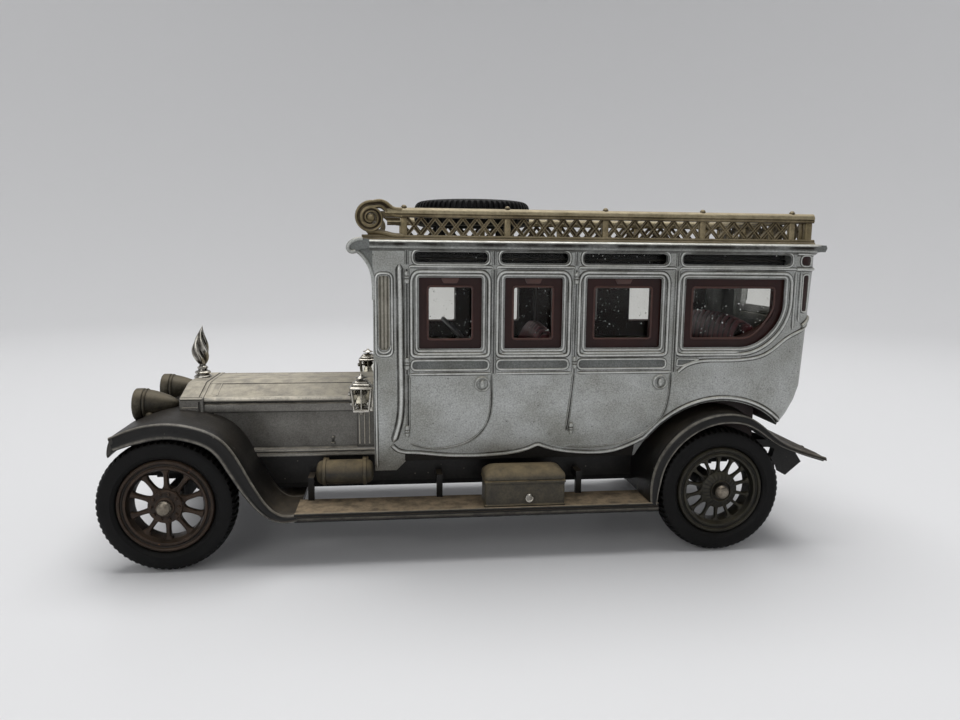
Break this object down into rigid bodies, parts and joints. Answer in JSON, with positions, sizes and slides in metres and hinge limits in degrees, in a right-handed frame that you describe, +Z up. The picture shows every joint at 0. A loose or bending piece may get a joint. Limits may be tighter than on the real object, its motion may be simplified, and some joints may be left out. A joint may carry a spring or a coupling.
{
  "type": "diecast collector car",
  "caption": "Diecast collector car: closed coach-bodied vintage limousine with turning spoked wheels, running boards, a lattice roof rack and a roof-top spare tyre.",
  "frame": {"origin": "under the middle of the car's length and width, on the ground plane the tyres stand on", "axes": "+Z up, -X towards the radiator at the front, -Y towards the car's left side"},
  "size_m": [0.118, 0.043, 0.0585],
  "materials": {
    "silver_enamel": "aged silver metallic enamel on a zinc casting",
    "black_enamel": "worn black enamel on a zinc casting, dusty",
    "steel": "plain drawn steel, dull",
    "red_moulding": "dark red moulded plastic",
    "clear_moulding": "clear moulded plastic, dusty",
    "gold_moulding": "dull gold plastic",
    "bright_plating": "vacuum plated bright plastic",
    "dark_bronze": "dark bronze plating, worn",
    "black_rubber": "soft black vinyl",
    "wheel_bronze": "dark bronze plated plastic, worn"
  },
  "bodies": {
    "car": {"front_axle_pin": "steel", "rear_axle_pin": "steel", "front_axle_beam": "black_enamel", "rear_axle_casing": "black_enamel", "front_springs": "black_enamel", "rear_springs": "black_enamel", "chassis_rails": "black_enamel", "cross_members": "black_enamel", "base_plate": "black_enamel", "front_fender_left": "black_enamel", "front_fender_right": "black_enamel", "rear_fender_left": "black_enamel", "rear_fender_right": "black_enamel", "running_board_left": "black_enamel", "running_board_right": "black_enamel", "board_brackets": "black_enamel", "rear_hangers": "black_enamel", "body_shell": "silver_enamel", "roof_panel": "silver_enamel", "window_frames": "red_moulding", "side_glazing": "clear_moulding", "end_glazing": "clear_moulding", "floor_tub": "red_moulding", "partition": "red_moulding", "front_seat": "red_moulding", "rear_seat": "red_moulding", "steering_wheel": "red_moulding", "steering_column": "red_moulding", "door_handles": "silver_enamel", "door_hinges": "silver_enamel", "bonnet": "silver_enamel", "radiator_shell": "silver_enamel", "radiator_core": "black_enamel", "cap_finial": "bright_plating", "headlight_left": "dark_bronze", "headlight_right": "dark_bronze", "headlight_lenses": "clear_moulding", "side_lamp_left": "bright_plating", "side_lamp_right": "bright_plating", "side_lamp_glass": "clear_moulding", "fuel_tank": "black_enamel", "tool_box": "black_enamel", "tool_box_lid": "black_enamel", "tool_box_clasp": "steel", "rack_rail_left": "gold_moulding", "rack_rail_right": "gold_moulding", "rack_rear_rail": "gold_moulding", "spare_tyre": "black_rubber"},
    "front_left_wheel": {"front_left_tyre": "black_rubber", "front_left_rim": "wheel_bronze", "front_left_hub": "wheel_bronze"},
    "front_right_wheel": {"front_right_tyre": "black_rubber", "front_right_rim": "wheel_bronze", "front_right_hub": "wheel_bronze"},
    "rear_left_wheel": {"rear_left_tyre": "black_rubber", "rear_left_rim": "wheel_bronze", "rear_left_hub": "wheel_bronze"},
    "rear_right_wheel": {"rear_right_tyre": "black_rubber", "rear_right_rim": "wheel_bronze", "rear_right_hub": "wheel_bronze"}
  },
  "joints": [
    {"name": "front_left_spin", "type": "hinge", "parent": "car", "child": "front_left_wheel", "pos_m": [-0.0485, -0.01815, 0.0105], "axis": [0, 1, 0], "continuous": true},
    {"name": "front_right_spin", "type": "hinge", "parent": "car", "child": "front_right_wheel", "pos_m": [-0.0485, 0.01815, 0.0105], "axis": [0, 1, 0], "continuous": true},
    {"name": "rear_left_spin", "type": "hinge", "parent": "car", "child": "rear_left_wheel", "pos_m": [0.0405, -0.01815, 0.0105], "axis": [0, 1, 0], "continuous": true},
    {"name": "rear_right_spin", "type": "hinge", "parent": "car", "child": "rear_right_wheel", "pos_m": [0.0405, 0.01815, 0.0105], "axis": [0, 1, 0], "continuous": true}
  ]
}
